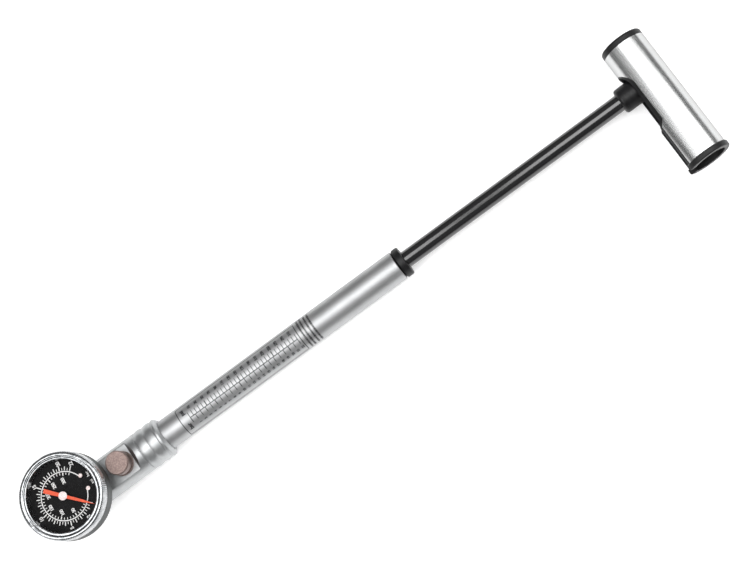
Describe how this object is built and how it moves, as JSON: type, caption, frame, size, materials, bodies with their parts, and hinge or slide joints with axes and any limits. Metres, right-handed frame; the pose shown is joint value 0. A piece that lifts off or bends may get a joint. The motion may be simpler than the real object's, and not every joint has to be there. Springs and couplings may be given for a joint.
{
  "type": "high-pressure hand pump",
  "caption": "Slim hand pump: round dial gauge and bleed button on a turned head, straight barrel, sliding black rod and a slotted tubular T-handle that folds over the barrel.",
  "frame": {"origin": "centre of the hose port's mouth, on the pump axis at the head's end", "axes": "+X along the pump from the hose port to the handle, +Z the way the dial faces, +Y towards the handle's closed end"},
  "size_m": [0.437, 0.0836, 0.0478],
  "materials": {
    "head_aluminium": "satin bead-blasted anodised",
    "barrel_aluminium": "satin anodised",
    "handle_aluminium": "bright brushed",
    "bezel_chrome": "polished chrome plate",
    "spacer_bright": "bright turned",
    "case_grey": "satin grey lacquer",
    "lens_clear": "clear",
    "dial_black": "satin black enamel",
    "pointer_red": "satin orange-red lacquer",
    "brass": "turned brass",
    "rose_metal": "pale rose, turned",
    "copper_anodised": "copper-brown anodised, turned",
    "steel": "ground steel",
    "rod_black": "glossy black anodised",
    "black_plastic": "moulded, fine satin texture",
    "acetal_white": "machined acetal",
    "black_rubber": "matt nitrile rubber"
  },
  "bodies": {
    "pump_body": {"head_body": "head_aluminium", "barrel": "barrel_aluminium", "barrel_gasket": "black_rubber", "valve_seat": "brass", "bleed_guide": "copper_anodised", "bleed_gasket": "black_rubber", "gauge_case": "case_grey", "gauge_bezel": "bezel_chrome", "lens_gasket": "black_rubber", "gauge_lens": "lens_clear", "spacer_ring": "spacer_bright", "dial_support": "black_plastic", "dial_plate": "dial_black", "dial_screws": "rose_metal", "gauge_socket": "brass", "bourdon_tube": "brass", "movement_lower_plate": "brass", "movement_upper_plate": "brass", "movement_pillars": "brass", "gland_cap": "black_plastic", "rod_bushing": "acetal_white", "rod_wiper": "black_rubber", "gland_o_ring": "black_rubber", "valve_spring": "steel", "bleed_spring": "steel"},
    "non_return_ball": {"valve_ball": "steel"},
    "bleed_valve": {"bleed_button": "copper_anodised", "bleed_stem": "brass", "bleed_seal": "black_rubber"},
    "toothed_sector": {"sector_gear": "brass", "tube_link": "steel"},
    "pointer_assembly": {"pinion": "steel", "pointer": "pointer_red", "pointer_hub": "rose_metal"},
    "piston_head": {"piston": "acetal_white", "piston_o_ring": "black_rubber"},
    "rod": {"rod_tube": "rod_black", "rod_end_plug": "steel", "piston_washer": "steel", "piston_screw": "steel", "top_out_bumper": "black_rubber", "knuckle": "black_plastic"},
    "handle": {"handle_shell": "handle_aluminium", "handle_liner": "black_plastic", "handle_end_cap": "black_plastic", "pivot_pin": "steel"}
  },
  "joints": [
    {"name": "pump_stroke", "type": "slide", "parent": "pump_body", "child": "piston_head", "axis": [-1, 0, 0], "range_m": [0, 0.147]},
    {"name": "rod_swivel", "type": "hinge", "parent": "piston_head", "child": "rod", "pos_m": [0.231, 0, 0], "axis": [1, 0, 0], "continuous": true},
    {"name": "handle_fold", "type": "hinge", "parent": "rod", "child": "handle", "pos_m": [0.4187, 0, 0], "axis": [0, 0, -1], "range_deg": [0, 90]},
    {"name": "bleed_press", "type": "slide", "parent": "pump_body", "child": "bleed_valve", "axis": [0, 0, -1], "range_m": [0, 0.002], "stiffness_N_per_m": 700, "springref_m": -0.002, "deforming": ["bleed_spring"]},
    {"name": "non_return_lift", "type": "slide", "parent": "pump_body", "child": "non_return_ball", "axis": [-1, 0, 0], "range_m": [0, 0.0012], "stiffness_N_per_m": 60, "springref_m": -0.0015, "deforming": ["valve_spring"]},
    {"name": "sector_swing", "type": "hinge", "parent": "pump_body", "child": "toothed_sector", "pos_m": [0.0205, 0.012, 0.0235], "axis": [0, 0, 1], "range_deg": [0, 39], "stiffness_Nm_per_rad": 0.002, "springref_deg": -5.73},
    {"name": "pointer_sweep", "type": "hinge", "parent": "pump_body", "child": "pointer_assembly", "pos_m": [0.0205, 0, 0.0235], "axis": [0, 0, 1], "range_deg": [-273, 0]}
  ],
  "couplings": [
    {"joint": "pointer_sweep", "follows": "sector_swing", "ratio": -7}
  ]
}
